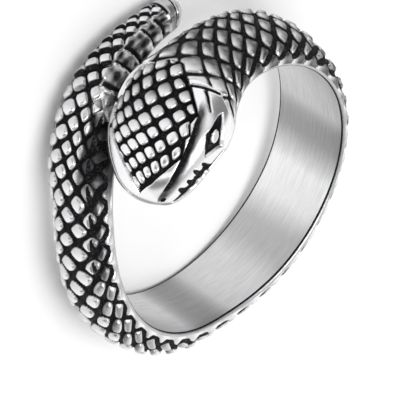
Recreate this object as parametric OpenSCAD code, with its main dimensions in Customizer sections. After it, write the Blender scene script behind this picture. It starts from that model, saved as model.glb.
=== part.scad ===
// Snake ring: one cast piece. The snake lies once and a fifth round the finger, with its tail
// beside its neck, and its broad head stands over the upper rim.
// The ring lies on its side, as it would on a table, with the bore close to upright.

/* [Ring size] */

// Inside diameter of the finger hole, 19.8 for a US size 10
inside_diameter = 19.8; // [17:0.1:22]

/* [Snake] */

// Shape of the snake from tail tip to snout, a row per section. Columns: angle round the ring,
// spine above the lower rim's plane, half width, crest and rim height above the bore,
// fullness of the arch (lower is fuller), how far the section turns square to the spine (0 to 1),
// depth of the notches in the upper rim
sections = [
    [77.5, -2.0, 1.08, 1.75, 0.6, 0.75, 0.6, 0],
    [95, -1.65, 1.19, 2.0, 0.6, 0.75, 0.3, 0],
    [110, -1.2, 1.5, 2.5, 0.6, 0.75, 0, 0.1],
    [130, -0.2, 2.2, 3.1, 0.6, 0.75, 0, 0.2],
    [150, 0.95, 2.5, 2.65, 0.6, 0.75, 0, 0.2],
    [168, 2.15, 2.5, 1.85, 0.6, 0.75, 0, 0.2],
    [185, 2.8, 2.55, 2.0, 0.6, 0.75, 0, 0.2],
    [205, 3.15, 2.71, 2.35, 0.6, 0.75, 0, 0.2],
    [230, 3.15, 2.8, 2.5, 0.6, 0.75, 0, 0.15],
    [250, 3.0, 2.78, 2.3, 0.6, 0.75, 0, 0.1],
    [270, 2.8, 2.72, 1.8, 0.6, 0.75, 0, 0],
    [300, 2.85, 2.85, 1.5, 0.5, 0.8, 0, 0],
    [330, 2.9, 2.9, 1.25, 0.4, 0.9, 0, 0],
    [360, 2.85, 3.05, 1.3, 0.4, 0.9, 0, 0],
    [390, 2.85, 3.1, 1.7, 0.5, 0.85, 0, 0.15],
    [410, 2.9, 3.0, 2.05, 0.55, 0.8, 0, 0.2],
    [430, 3.1, 2.97, 2.0, 0.6, 0.75, 0, 0.2],
    [447, 3.5, 3.1, 2.05, 0.6, 0.72, 0, 0.2],
    [460, 4.15, 3.6, 2.5, 0.6, 0.68, 0.25, 0.1],
    [472, 4.8, 4.35, 3.05, 0.6, 0.62, 0.6, 0],
    [484, 5.75, 4.55, 3.35, 0.6, 0.6, 1, 0],
    [497, 6.8, 4.1, 3.15, 0.6, 0.6, 1, 0],
    [506.5, 7.5, 3.8, 2.7, 0.6, 0.6, 1, 0]
];
// Angle over which the tail's tip rounds off
tail_rounding = 9; // [5:1:20]
// Angle over which the snout rounds off
snout_rounding = 29; // [20:1:35]
// Width of the slot between the head and the tail that lies beside it
parting_gap = 0.2; // [0.1:0.05:0.4]
// Height of that slot beside the snout
parting_height = 3.37; // [3.3:0.01:3.45]
// Rise of that slot for each degree round the ring
parting_rise = 0.0844; // [0.08:0.001:0.09]

/* [Scales] */

// Where the staggered rows of scales lie on the body, a row of the table for every few of them.
// Columns: row number, angle along the middle of the back, slant of the row per column towards
// the upper rim, drift of the middle column towards the upper rim as a share of the way across,
// widening of the columns beside the middle as a share of the way across
scale_rows = [
    [0, 77.5, 0, 0.18, -0.1],
    [8, 102.4, 0, 0.18, -0.13],
    [14, 122.3, -0.2, 0.135, -0.15],
    [20, 143.8, -0.5, 0.09, -0.2],
    [23, 155.6, -0.6, 0.03, -0.14],
    [25, 165.6, -1.1, -0.03, -0.08],
    [27, 175, -1.6, -0.08, 0],
    [29, 183.4, -1.75, -0.07, 0],
    [31, 192.2, -2, -0.005, 0.03],
    [35, 211, -2.3, 0.07, 0.05],
    [46, 263.3, -2.3, 0, 0],
    [72, 388.7, 1.5, -0.08, 0],
    [80, 422.4, 1.6, -0.1, 0],
    [84, 439.1, 1.95, -0.035, -0.03],
    [87, 451.2, 1.6, 0, -0.04],
    [90, 464.5, 0, 0, 0]
];
// Depth of the grooves between the body's scales
groove_depth = 0.42; // [0.1:0.05:0.5]
// Share of its cell that a body scale's flat top fills, along the snake
scale_length = 0.7; // [0.5:0.05:0.8]
// Share of its cell that a body scale's flat top fills, across the snake
scale_width = 0.62; // [0.5:0.05:0.8]

/* [Head] */

// Edge of the recessed field of scales on the head. Columns: angle, share of the way across
field_edge = [
    [503, 0.46], [499.3, 0.42], [495.4, 0.35], [490.3, 0.28], [486, 0.225], [481.5, 0.165],
    [478.5, 0.14], [474, 0.19], [470, 0.25], [465, 0.27], [465.4, 0.41], [470.6, 0.61],
    [480.3, 0.715], [484, 0.695], [487.3, 0.735], [489, 0.72], [493.5, 0.77], [497.2, 0.705],
    [500.5, 0.62]
];
// Depth of the field below the head's surface
field_depth = 0.45; // [0.2:0.05:0.5]
// Share of its cell that a scale of the field fills
field_scale_size = 0.58; // [0.4:0.02:0.8]
// One scale of the field: angle, share of the way across
field_scale = [480.2, 0.316];
// Step to the next scale towards the snout: angle, share of the way across
field_step_along = [4.05, 0.072];
// Step to the next scale towards the brow: angle, share of the way across, bend in the angle
field_step_across = [-1.3, 0.053, -0.33];
// Channel between the field and the brow. Columns: angle, left edge, right edge
channel = [
    [480.5, 0.72, 0.74], [484, 0.731, 0.77], [487, 0.745, 0.795], [491, 0.762, 0.82],
    [494.5, 0.775, 0.85], [498, 0.782, 0.85], [501, 0.765, 0.82], [503.8, 0.71, 0.77]
];
// Depth of the channel at its left edge
channel_depth = 0.35; // [0.1:0.05:0.5]
// Corners of the eye socket: angle, share of the way across
eye_socket = [[474.4, 0.868], [483.5, 0.85], [491.3, 0.94], [485.5, 0.985]];
// Depth of the eye socket
eye_depth = 0.4; // [0.1:0.05:0.5]
// Eyeball: angle, share of the way across, radius
eyeball = [485.2, 0.912, 0.55];
// Angle where the jagged line of the mouth begins
mouth_start = 489; // [486:0.5:494]
// Depth of the notches along the mouth
mouth_depth = 0.3; // [0.1:0.05:0.4]
// Nostril: angle, share of the way across, radius
nostril = [504.4, 0.83, 0.35];
// Depth of the nostril
nostril_depth = 0.25; // [0.1:0.05:0.3]

/* [Resting pose] */

// Angle by which the bore leans from upright as the ring lies on its tail and lower rim
rest_tilt = 8.55; // [0:0.05:15]
// Direction round the ring on which the tail props it up
rest_lift_angle = 79.5; // [60:0.5:160]
// Turn about the vertical that brings the head to the front
rest_turn = 135; // [0:1:360]

/* [Hidden] */

bore_radius = inside_diameter / 2;
ANGLE = 0;
SPINE = 1;
HALF = 2;
CREST = 3;
RIM = 4;
FULLNESS = 5;
LEAN = 6;
NOTCH = 7;
CLIMB = 8;
tail_end = sections[0][ANGLE];
head_end = sections[len(sections) - 1][ANGLE];
// Columns of the table of rows after the angle
SLANT = 2;
DRIFT = 3;
WIDENING = 4;
// Angles over which the crest comes down at the tail's tip and at the snout
tail_slope = 6;
snout_slope = 9;
// Powers of the curves that round off the outline and the crest
outline_power = 2.1;
crest_power = 2;
// Angle from each tip within which the head and the tail are kept apart, and the slot's lowest height
parting_reach = 66;
parting_floor = 0.2;
// Half width of the snake from which the grooves are at full depth
full_groove_width = 2.5;
// The end caps stand just inside the tips, where the snake still has some width
cap_inset = 0.4;
// How far the casting reaches inside the bore before the bore is cut
bore_overlap = 0.1;
// Half columns of scales across the body, and the head's finer columns
half_columns = 8;
head_columns = 2 * half_columns;
row_count = scale_rows[len(scale_rows) - 1][0];
head_start = scale_rows[len(scale_rows) - 1][1];
head_rows = 13;
// Rows of the body over which its lattice bends into line with the head's
bend_rows = 4;
// Angle from the body's last row to the head's first, and the least angle between the head's rows
head_gap = 1.1;
head_row_angle = 0.6;
// Rows of the snout: most and least angle between them, and how much later the most begins to count
snout_row_most = 4.5;
snout_row_least = 1.3;
snout_row_slack = 3;
// Column of the head's lattice along the brow, and the angle by which each one beyond it leans back
brow_column = 12;
brow_lean = 2.1;
// Row and column of the head's lattice that hold the named scale of the field
field_row = 4;
field_column = 5;
// Lengths on the head's surface that stand for a degree and for the whole way across
head_scale = [0.22, 12];
// The neck's grooves reach this far along and start this far across
neck_end = 478;
neck_side = 0.15;
// Margins within which a groove still counts as inside the field and the eye socket
field_margin = 0.15;
socket_margin = 0.05;
// Angle over which the channel fades in and out, and how steeply its left wall and its right slope fall
channel_fade = 3;
channel_wall = 0.05;
channel_brow = 0.02;
// How far a scale's flat top stands below the skin, and how far its corners reach out
top_drop = 0.04;
corner_spread = 0.86;

// Index of a table's last row whose first column is at or before a value
function row_before(table, x, i = 0) =
    i >= len(table) - 2 || table[i + 1][0] > x ? i : row_before(table, x, i + 1);

// Rate at which all columns change at a row of a table, from its neighbours
function rate(table, i) =
    let(next = min(i + 1, len(table) - 1), last = max(i - 1, 0))
    (table[next] - table[last]) / (table[next][0] - table[last][0]);

// All columns at a value of the first, on smooth curves through a table's rows
function smooth(table, x) =
    let(
        i = row_before(table, x),
        span = table[i + 1][0] - table[i][0],
        t = (x - table[i][0]) / span,
        back = 1 - t
    )
    (1 + 2 * t) * back * back * table[i] + t * back * back * span * rate(table, i)
    + t * t * (3 - 2 * t) * table[i + 1] - t * t * back * span * rate(table, i + 1);

function shape(angle) = smooth(sections, angle);

// Share that is left of a size as it rounds off towards both ends
function rounded(angle, tail_reach, head_reach, power) =
    let(
        tail = max(0, 1 - (angle - tail_end) / tail_reach),
        head = max(0, 1 - (head_end - angle) / head_reach)
    )
    pow(1 - pow(tail, power), 1 / power) * pow(1 - pow(head, power), 1 / power);

// The section at an angle, with its tips rounded off and the spine's climb as a last column
function section(angle) =
    let(
        s = shape(angle),
        rise = shape(angle + 0.5)[SPINE] - shape(angle - 0.5)[SPINE],
        run = bore_radius * PI / 180
    )
    [
        angle, s[SPINE], s[HALF] * rounded(angle, tail_rounding, snout_rounding, outline_power),
        s[RIM] + (s[CREST] - s[RIM]) * rounded(angle, tail_slope, snout_slope, crest_power),
        s[RIM], s[FULLNESS], s[LEAN],
        max(0, s[NOTCH]), atan(rise / run)
    ];

// Height of the slot between the head and the tail, by the angle round the ring
function parting(turn) =
    max(parting_floor, parting_height + parting_rise * (turn - head_end + 360));

// The head stays above the slot and the tail below it
function parted(height, turn, angle) =
    angle < tail_end + parting_reach ? min(height, parting(turn) - parting_gap / 2)
    : angle > head_end - parting_reach ? max(height, parting(turn - 360) + parting_gap / 2)
    : height;

// Point at a radius from the bore's axis, beside the spine by the given distance
function placed(s, beside, radius) =
    let(
        turn = s[ANGLE] - s[LEAN] * beside * sin(s[CLIMB]) * cos(s[CLIMB]) / bore_radius * 180 / PI,
        height = s[SPINE] + beside * (1 - s[LEAN] * pow(sin(s[CLIMB]), 2))
    )
    [radius * cos(turn), radius * sin(turn), parted(height, turn, s[ANGLE])];

// Point on the snake's back, from the lower rim (across = 0) to the upper rim (across = 1),
// lifted square to the surface
function skin(s, across, lift) =
    let(
        arch = max(1e-4, sin(180 * across)),
        reach = s[CREST] - s[RIM],
        out = s[HALF] * arch,
        side = -reach * s[FULLNESS] * pow(arch, s[FULLNESS] - 1) * cos(180 * across),
        length = norm([out, side])
    )
    placed(s, -s[HALF] * cos(180 * across) + lift * side / length,
        bore_radius + s[RIM] + reach * pow(arch, s[FULLNESS]) + lift * out / length);

// Smooth step from 0 at a to 1 at b
function ease(a, b, x) =
    let(t = min(1, max(0, (x - a) / (b - a)))) t * t * (3 - 2 * t);

// Value of a column of a short table, straight between its rows
function read(table, x, column) = lookup(x, [for (row = table) [row[0], row[column]]]);

// Place on the head's surface in millimetres, laid flat
function flat(p) = [p[0] * head_scale[0], p[1] * head_scale[1]];

// Distance from a flat point to the stretch between two others
function to_stretch(p, a, b) =
    let(t = min(1, max(0, (p - a) * (b - a) / ((b - a) * (b - a))))) norm(p - a - t * (b - a));

// Distance from a flat point to a line through the rows of a table
function to_line(p, line) =
    min([for (i = [1:len(line) - 1]) to_stretch(p, flat(line[i - 1]), flat(line[i]))]);

// Whether a place lies inside an outline
function inside(p, edge, i = 0, hit = false) =
    i == len(edge) ? hit
    : let(a = edge[i], b = edge[(i + 1) % len(edge)])
        inside(p, edge, i + 1,
            (a[1] > p[1]) != (b[1] > p[1])
            && p[0] < a[0] + (p[1] - a[1]) / (b[1] - a[1]) * (b[0] - a[0]) ? !hit : hit);

// Depth inside an outline, negative outside it
function inset(p, edge) =
    (inside(p, edge) ? 1 : -1) * to_line(flat(p), concat(edge, [edge[0]]));

// Place of a node of the head's lattice, by row and column: the field's grid, which leans back
// beside the brow and crowds towards the lattice's ends
function head_spot(i, j) =
    let(
        side = min(j, brow_column),
        along = (i - field_row + side - field_column) / 2,
        across = (side - field_column - i + field_row) / 2,
        grid = field_scale[0] + along * field_step_along[0] + across * field_step_across[0]
            + pow(max(across, 0), 2) * field_step_across[2] - brow_lean * max(0, j - brow_column),
        first = head_start + head_gap + head_row_angle * i,
        left = head_rows - i,
        share = j / head_columns,
        drift = field_scale[1] - field_column / head_columns
            + (i - field_row) * (field_step_along[1] - field_step_across[1]) / 2
    )
    [
        min(max(grid, first, head_end - cap_inset - max(0, snout_row_most * left - snout_row_slack)),
            head_end - cap_inset - snout_row_least * left),
        share + drift * ease(0, 0.15, share) * ease(1, 0.88, share)
    ];

// Place of a node of the body's lattice, whose last rows bend along the head's first one
function body_spot(i, j) =
    let(
        row = smooth(scale_rows, i),
        beside = j - half_columns / 2,
        side = 2 * beside / half_columns,
        bend = (head_spot(0, 2 * j)[0] - head_spot(0, 0)[0]) * ease(row_count - bend_rows, row_count, i)
    )
    [
        max(tail_end + cap_inset, row[1] + row[SLANT] * beside + bend),
        j / half_columns + (1 - side * side) * (row[DRIFT] + row[WIDENING] * side)
    ];

// Place of a node of either lattice: part 0 is the body and part 1 the head
function spot(part, i, j) = part == 0 ? body_spot(i, j) : head_spot(i, j);
function rows(part) = part == 0 ? row_count : head_rows;
function columns(part) = part == 0 ? half_columns : head_columns;

// Lift of the body's surface, where grooves cross or not
function body_lift(p, j, crossing) =
    !crossing || p[0] < tail_end + 2 * cap_inset || j == 0 ? 0
    : let(s = section(p[0]))
        j == half_columns ? -s[NOTCH] : -groove_depth * ease(0, full_groove_width, s[HALF]);

// Lift of the head's surface, where grooves cross or not
function head_lift(p, j, crossing) =
    let(
        field = inset(p, field_edge) > -field_margin,
        neck = !field && p[0] < neck_end && p[1] > neck_side,
        mouth = j > head_columns - 1.5 && p[0] > mouth_start,
        left = read(channel, p[0], 1),
        right = read(channel, p[0], 2),
        start = channel[0][0],
        end = channel[len(channel) - 1][0],
        trough = ease(start, start + channel_fade, p[0]) * ease(end, end - channel_fade, p[0])
            * ease(left - channel_wall, left, p[1]) * ease(right + channel_brow, left, p[1]),
        socket = inset(p, eye_socket) > -socket_margin
            && norm(flat(p - [eyeball[0], eyeball[1]])) > eyeball[2]
    )
    (j == 0 || (j == head_columns && !mouth) ? 0
    : socket ? -eye_depth
    : norm(flat(p - [nostril[0], nostril[1]])) < nostril[2] ? -nostril_depth
    : !crossing ? -channel_depth * trough
    : field ? -field_depth
    : neck ? -groove_depth
    : mouth ? -mouth_depth
    : -channel_depth * trough);

function lift(part, p, j, crossing) =
    part == 0 ? body_lift(p, j, crossing) : head_lift(p, j, crossing);

// Point of the skin at a place, lifted as the place asks
function skin_at(part, p, j, crossing, extra = 0) =
    skin(section(p[0]), p[1], lift(part, p, j, crossing) + extra);

// Whole scales of a lattice, each with eight corners round its flat top
function cells(part) = [for (i = [1:rows(part) - 1]) for (j = [1:columns(part) - 1])
    if ((i + j) % 2 == 1) [i, j]];
// Scales that the lattice's edges cut
function edge_cells(part) = [for (i = [0:rows(part)]) for (j = [0:columns(part)])
    if ((i + j) % 2 == 1 && (i == 0 || i == rows(part) || j == 0 || j == columns(part))) [i, j]];

function node_points(part) = [for (i = [0:rows(part)]) for (j = [0:columns(part)])
    skin_at(part, spot(part, i, j), j, (i + j) % 2 == 0)];
function top_points(part) =
    let(
        along = part == 0 ? scale_length : field_scale_size,
        across = part == 0 ? scale_width : field_scale_size
    )
    [for (cell = cells(part)) for (k = [0:7])
        let(spread = k % 2 == 0 ? 1 : corner_spread)
        skin_at(part, spot(part, cell[0] + along * spread * cos(45 * k),
            cell[1] + across * spread * sin(45 * k)), cell[1], false, -top_drop)];
// Points inside the bore below both rims of every row
function inner_points(part, radius) = [for (i = [0:rows(part)]) for (side = [0, 1])
    let(p = spot(part, i, side * columns(part)), s = section(p[0]))
    placed(s, (2 * side - 1) * s[HALF], radius)];

snake_points = concat(
    node_points(0), top_points(0), inner_points(0, bore_radius - bore_overlap),
    node_points(1), top_points(1), inner_points(1, bore_radius - bore_overlap)
);

// Where the points of each lattice start: its nodes, its tops and its inner points
function node_count(part) = (rows(part) + 1) * (columns(part) + 1);
function point_count(part) = node_count(part) + 8 * len(cells(part)) + 2 * (rows(part) + 1);
starts = [0, point_count(0)];
inner_starts = [for (part = [0, 1]) starts[part] + node_count(part) + 8 * len(cells(part))];

function node_index(part, i, j) = starts[part] + i * (columns(part) + 1) + j;
function top_index(part, c, k) = starts[part] + node_count(part) + 8 * c + k % 8;
function inner_index(part, i, side) = inner_starts[part] + 2 * i + side;

// Corner of a cell towards one of four sides, or undef past the lattice's edge
function corner(part, cell, side) =
    let(
        i = cell[0] + [1, 0, -1, 0][side % 4],
        j = cell[1] + [0, 1, 0, -1][side % 4]
    )
    i < 0 || i > rows(part) || j < 0 || j > columns(part) ? undef : node_index(part, i, j);

// A whole scale: walls from the grooves up to its flat top
function scale_faces(part) = let(found = cells(part))
    [for (c = [0:len(found) - 1]) each concat(
        [for (side = [0:3]) each [
            [corner(part, found[c], side), top_index(part, c, 2 * side + 7), top_index(part, c, 2 * side)],
            [corner(part, found[c], side), top_index(part, c, 2 * side), top_index(part, c, 2 * side + 1)],
            [corner(part, found[c], side), top_index(part, c, 2 * side + 1),
                corner(part, found[c], side + 1)]
        ]],
        [for (k = [0:7])
            [node_index(part, found[c][0], found[c][1]), top_index(part, c, k + 1), top_index(part, c, k)]]
    )];
function edge_faces(part) = [for (cell = edge_cells(part)) for (side = [0:3])
    if (corner(part, cell, side) != undef && corner(part, cell, side + 1) != undef)
        [node_index(part, cell[0], cell[1]), corner(part, cell, side + 1), corner(part, cell, side)]];

// The head's first row joins the wider spaced points of the body's last row
join_faces = [for (j = [0:half_columns - 1]) each [
    [node_index(0, row_count, j), node_index(1, 0, 2 * j + 1), node_index(1, 0, 2 * j)],
    [node_index(0, row_count, j), node_index(0, row_count, j + 1), node_index(1, 0, 2 * j + 1)],
    [node_index(0, row_count, j + 1), node_index(1, 0, 2 * j + 2), node_index(1, 0, 2 * j + 1)]
]];

// Walls down both rims and the inner band, from the tail's tip to the snout
steps = concat([for (i = [0:row_count]) [0, i]], [for (i = [0:head_rows]) [1, i]]);
function rim(step, side) = node_index(step[0], step[1], side * columns(step[0]));
function inside_rim(step, side) = inner_index(step[0], step[1], side);
wall_faces = [for (k = [1:len(steps) - 1]) let(a = steps[k - 1], b = steps[k]) each [
    [rim(a, 0), rim(b, 0), inside_rim(b, 0)],
    [rim(a, 0), inside_rim(b, 0), inside_rim(a, 0)],
    [rim(a, 1), inside_rim(a, 1), inside_rim(b, 1)],
    [rim(a, 1), inside_rim(b, 1), rim(b, 1)],
    [inside_rim(a, 0), inside_rim(b, 0), inside_rim(b, 1)],
    [inside_rim(a, 0), inside_rim(b, 1), inside_rim(a, 1)]
]];
tip = steps[0];
snout = steps[len(steps) - 1];
cap_faces = concat(
    [for (j = [0:half_columns - 1]) [inside_rim(tip, 0), node_index(0, 0, j + 1), node_index(0, 0, j)]],
    [[inside_rim(tip, 0), inside_rim(tip, 1), rim(tip, 1)]],
    [for (j = [0:head_columns - 1])
        [inside_rim(snout, 0), node_index(1, head_rows, j), node_index(1, head_rows, j + 1)]],
    [[inside_rim(snout, 0), rim(snout, 1), inside_rim(snout, 1)]]
);
snake_faces = concat(scale_faces(0), edge_faces(0), join_faces, scale_faces(1), edge_faces(1),
    wall_faces, cap_faces);

// A point of the ring as it rests, before it is centred
function rested(p) =
    let(
        q = [p[0] * cos(rest_lift_angle) + p[1] * sin(rest_lift_angle),
            p[1] * cos(rest_lift_angle) - p[0] * sin(rest_lift_angle), p[2]],
        r = [q[0] * cos(rest_tilt) - q[2] * sin(rest_tilt), q[1],
            q[0] * sin(rest_tilt) + q[2] * cos(rest_tilt)],
        out = rest_lift_angle + rest_turn
    )
    [r[0] * cos(out) - r[1] * sin(out), r[0] * sin(out) + r[1] * cos(out), r[2]];

outer_points = concat(node_points(0), top_points(0), inner_points(0, bore_radius),
    node_points(1), top_points(1), inner_points(1, bore_radius));
resting_points = [for (p = outer_points) rested(p)];
low = [for (axis = [0:2]) min([for (p = resting_points) p[axis]])];
high = [for (axis = [0:2]) max([for (p = resting_points) p[axis]])];
base_centre = [(low[0] + high[0]) / 2, (low[1] + high[1]) / 2, low[2]];

// The cast snake, coiled round the finger hole
module snake_ring() {
    color([0.72, 0.72, 0.73])
        translate(-base_centre)
            rotate([0, 0, rest_turn])
                rotate([0, 0, rest_lift_angle])
                    rotate([0, -rest_tilt, 0])
                        rotate([0, 0, -rest_lift_angle])
                            difference() {
                                polyhedron(points = snake_points, faces = snake_faces, convexity = 8);
                                translate([0, 0, -15])
                                    cylinder(r = bore_radius, h = 40, $fn = 180);
                            }
}

// Part to show
snake_ring();
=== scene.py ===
import math
import bpy
import numpy as np
from mathutils import Matrix, Vector


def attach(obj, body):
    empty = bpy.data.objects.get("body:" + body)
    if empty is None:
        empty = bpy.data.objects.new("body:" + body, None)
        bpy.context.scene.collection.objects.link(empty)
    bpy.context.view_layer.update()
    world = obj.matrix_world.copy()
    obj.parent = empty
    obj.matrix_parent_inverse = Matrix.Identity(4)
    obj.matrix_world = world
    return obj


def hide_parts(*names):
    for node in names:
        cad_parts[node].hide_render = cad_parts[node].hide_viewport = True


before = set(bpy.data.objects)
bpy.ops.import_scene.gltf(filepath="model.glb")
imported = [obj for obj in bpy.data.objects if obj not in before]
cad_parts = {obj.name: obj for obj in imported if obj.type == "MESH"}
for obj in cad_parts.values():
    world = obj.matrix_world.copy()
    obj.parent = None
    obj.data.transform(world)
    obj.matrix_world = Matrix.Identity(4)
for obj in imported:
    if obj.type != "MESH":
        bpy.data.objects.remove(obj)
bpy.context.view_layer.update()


# The snake is one casting of stainless steel, coiled once and a fifth round the finger hole.
# Its scales, head and eye are cast in. The tops are polished, the grooves are blackened with
# oxide, and the finger hole is turned and rubbed satin.

MM = 0.001
BORE = 9.9
DEGREE = BORE * math.pi / 180

# Columns: angle round the ring, spine above the lower rim's plane, half width, crest and rim
# height above the bore, fullness of the arch (lower is fuller), share by which a section turns
# square to the spine
SECTIONS = np.array([
    (77.5, -2.0, 1.08, 1.75, 0.6, 0.75, 0.6),
    (95, -1.65, 1.19, 2.0, 0.6, 0.75, 0.3),
    (110, -1.2, 1.5, 2.5, 0.6, 0.75, 0),
    (130, -0.2, 2.2, 3.1, 0.6, 0.75, 0),
    (150, 0.95, 2.5, 2.65, 0.6, 0.75, 0),
    (168, 2.15, 2.5, 1.85, 0.6, 0.75, 0),
    (185, 2.8, 2.55, 2.0, 0.6, 0.75, 0),
    (205, 3.15, 2.71, 2.35, 0.6, 0.75, 0),
    (230, 3.15, 2.8, 2.5, 0.6, 0.75, 0),
    (250, 3.0, 2.78, 2.3, 0.6, 0.75, 0),
    (270, 2.8, 2.72, 1.8, 0.6, 0.75, 0),
    (300, 2.85, 2.85, 1.5, 0.5, 0.8, 0),
    (330, 2.9, 2.9, 1.25, 0.4, 0.9, 0),
    (360, 2.85, 3.05, 1.3, 0.4, 0.9, 0),
    (390, 2.85, 3.1, 1.7, 0.5, 0.85, 0),
    (410, 2.9, 3.0, 2.05, 0.55, 0.8, 0),
    (430, 3.1, 2.97, 2.0, 0.6, 0.75, 0),
    (447, 3.5, 3.1, 2.05, 0.6, 0.72, 0),
    (460, 4.15, 3.6, 2.5, 0.6, 0.68, 0.25),
    (472, 4.8, 4.35, 3.05, 0.6, 0.62, 0.6),
    (484, 5.75, 4.55, 3.35, 0.6, 0.6, 1),
    (497, 6.8, 4.1, 3.15, 0.6, 0.6, 1),
    (506.5, 7.5, 3.8, 2.7, 0.6, 0.6, 1),
])
TAIL_END, HEAD_END = SECTIONS[0, 0], SECTIONS[-1, 0]

# Degrees that round off the tail's tip and the snout, and the power of the curve
OUTLINE_ENDS, CREST_ENDS = (9, 29, 2.1), (6, 9, 2)
# Slot between the head and the tail: its width, its height beside the snout and at its lowest,
# its rise for each degree, and the degrees from each tip that it keeps clear
SLOT_WIDTH, SLOT_AT_SNOUT, SLOT_LOWEST, SLOT_RISE, SLOT_REACH = 0.2, 3.37, 0.2, 0.0844, 66
# Rounding of the rims' inner edges, and the most of a half width that it takes
EDGE, EDGE_SHARE = 0.22, 0.45
# Share of the way across that stands for the upper rim's wall
WALL_SHARE = 0.04

# Columns: row of scales, angle along the middle of the back, slant per column towards the upper
# rim, drift of the middle column, widening of the columns beside it (shares of the way across)
SCALE_ROWS = np.array([
    (0, 77.5, 0, 0.2, 0),
    (8, 102.4, 0, 0.2, 0),
    (14, 122.3, -0.2, 0.15, -0.1),
    (20, 143.8, -0.5, 0.09, -0.2),
    (23, 155.6, -0.6, 0.03, -0.08),
    (25, 165.6, -1.1, -0.03, 0.04),
    (27, 175, -1.6, -0.08, 0.07),
    (29, 183.4, -1.75, -0.07, 0.09),
    (31, 192.2, -2, -0.005, 0.08),
    (35, 211, -2.3, 0.07, 0.05),
    (46, 263.3, -2.3, 0, 0),
    (72, 388.7, 1.5, -0.08, 0),
    (80, 422.4, 1.6, -0.1, 0),
    (84, 439.1, 1.95, -0.035, -0.03),
    (87, 452, 1.6, 0, -0.04),
    (90, 466, 0.2, 0, 0),
    (94, 484, 0, 0, 0),
])
NECK_ROW, COLUMNS = 89, 8
# Share of the upper rim's wall that the outer columns run down, and the column where they start
OVER_RIM, OVER_RIM_FROM = 0.9, 5
# Degrees by which the mesh stays inside each tip, so that its ends still have some width
TIP_INSET = 0.03


def smooth(table, x):
    """All columns at a value of the first, on smooth curves through the table's rows."""
    i = np.clip(np.searchsorted(table[:, 0], x, "right") - 1, 0, len(table) - 2)
    after = np.minimum(np.arange(len(table)) + 1, len(table) - 1)
    before = np.maximum(np.arange(len(table)) - 1, 0)
    rate = (table[after] - table[before]) / (table[after, :1] - table[before, :1])
    span = (table[i + 1, 0] - table[i, 0])[..., None]
    t = (x - table[i, 0])[..., None] / span
    back = 1 - t
    return ((1 + 2 * t) * back**2 * table[i] + t * back**2 * span * rate[i]
            + t**2 * (3 - 2 * t) * table[i + 1] - t**2 * back * span * rate[i + 1])


def ease(low, high, x):
    """Smooth step from 0 at low to 1 at high."""
    t = np.clip((x - low) / (high - low), 0, 1)
    return t * t * (3 - 2 * t)


def rounded(angle, tail_reach, head_reach, power):
    """Share that is left of a size as it rounds off towards both ends."""
    tail = np.clip(1 - (angle - TAIL_END) / tail_reach, 0, 1)
    head = np.clip(1 - (HEAD_END - angle) / head_reach, 0, 1)
    return (1 - tail**power) ** (1 / power) * (1 - head**power) ** (1 / power)


def slot_height(angle):
    """Height of the slot between the head and the tail, by the tail's angle."""
    return np.maximum(SLOT_LOWEST, SLOT_AT_SNOUT + SLOT_RISE * (angle - HEAD_END + 360))


def placed(angle, beside, height):
    """Point beside the spine and above the bore, kept clear of the slot between head and tail."""
    spine, lean = np.moveaxis(smooth(SECTIONS, angle)[..., [1, 6]], -1, 0)
    rise = smooth(SECTIONS, angle + 0.5)[..., 1] - smooth(SECTIONS, angle - 0.5)[..., 1]
    climb = np.arctan(rise / DEGREE)
    turn = angle - lean * beside * np.sin(climb) * np.cos(climb) / DEGREE
    z = spine + beside * (1 - lean * np.sin(climb) ** 2)
    tail_top = slot_height(turn) - SLOT_WIDTH / 2
    head_bottom = slot_height(turn - 360) + SLOT_WIDTH / 2
    z = np.where(angle < TAIL_END + SLOT_REACH, np.minimum(z, tail_top), z)
    z = np.where(angle > HEAD_END - SLOT_REACH, np.maximum(z, head_bottom), z)
    t = np.radians(turn)
    return np.stack([(BORE + height) * np.cos(t), (BORE + height) * np.sin(t), z], -1)


def width_at(angle):
    """Half width of the snake, rounded off at both ends."""
    return smooth(SECTIONS, angle)[..., 2] * rounded(angle, *OUTLINE_ENDS)


def skin(angle, across, lift):
    """Point on the back, lifted square to it: from the lower rim (0) to the upper rim (1), and
    past 1 down the upper rim's wall."""
    crest, rim, fullness = np.moveaxis(smooth(SECTIONS, angle)[..., 3:6], -1, 0)
    fall = np.maximum(across - 1, 0) / WALL_SHARE * (rim - EDGE)
    across = np.minimum(across, 1)
    half, reach = width_at(angle), (crest - rim) * rounded(angle, *CREST_ENDS)
    arch = np.maximum(1e-4, np.sin(np.pi * across))
    out = half * arch
    side = -reach * fullness * arch ** (fullness - 1) * np.cos(np.pi * across)
    length = np.hypot(out, side) + 1e-9
    return placed(angle, -half * np.cos(np.pi * across) + lift * side / length,
                  rim + reach * arch**fullness - fall + lift * out / length)


def spot(row, column):
    """Angle and share of the way across at a place of the lattice of scales."""
    line = smooth(SCALE_ROWS, row)
    beside = column - COLUMNS / 2
    side = 2 * beside / COLUMNS
    across = (column / COLUMNS + (1 - side**2) * (line[..., 3] + line[..., 4] * side)
              + OVER_RIM * WALL_SHARE * ease(OVER_RIM_FROM, COLUMNS, column))
    return np.maximum(line[..., 1] + line[..., 2] * beside, TAIL_END + TIP_INSET), across


# The mesh runs in cross-sections from the tail's tip to the snout, closest at the two tips. Its
# lines follow the scales on the body, and are finer on the head, which has a pattern of its own.
FINE, HEAD_FINE, HEAD_ROWS = 8, 3, 168
SNOUT_CROWDING = 1.5
row = np.arange(0, NECK_ROW, 1 / FINE)
row[:FINE] = row[:FINE] ** 2
body_row, body_column = np.meshgrid(
    row, np.linspace(0, COLUMNS, COLUMNS * FINE + 1), indexing="ij")
body_angle, body_across = spot(body_row, body_column)

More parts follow.
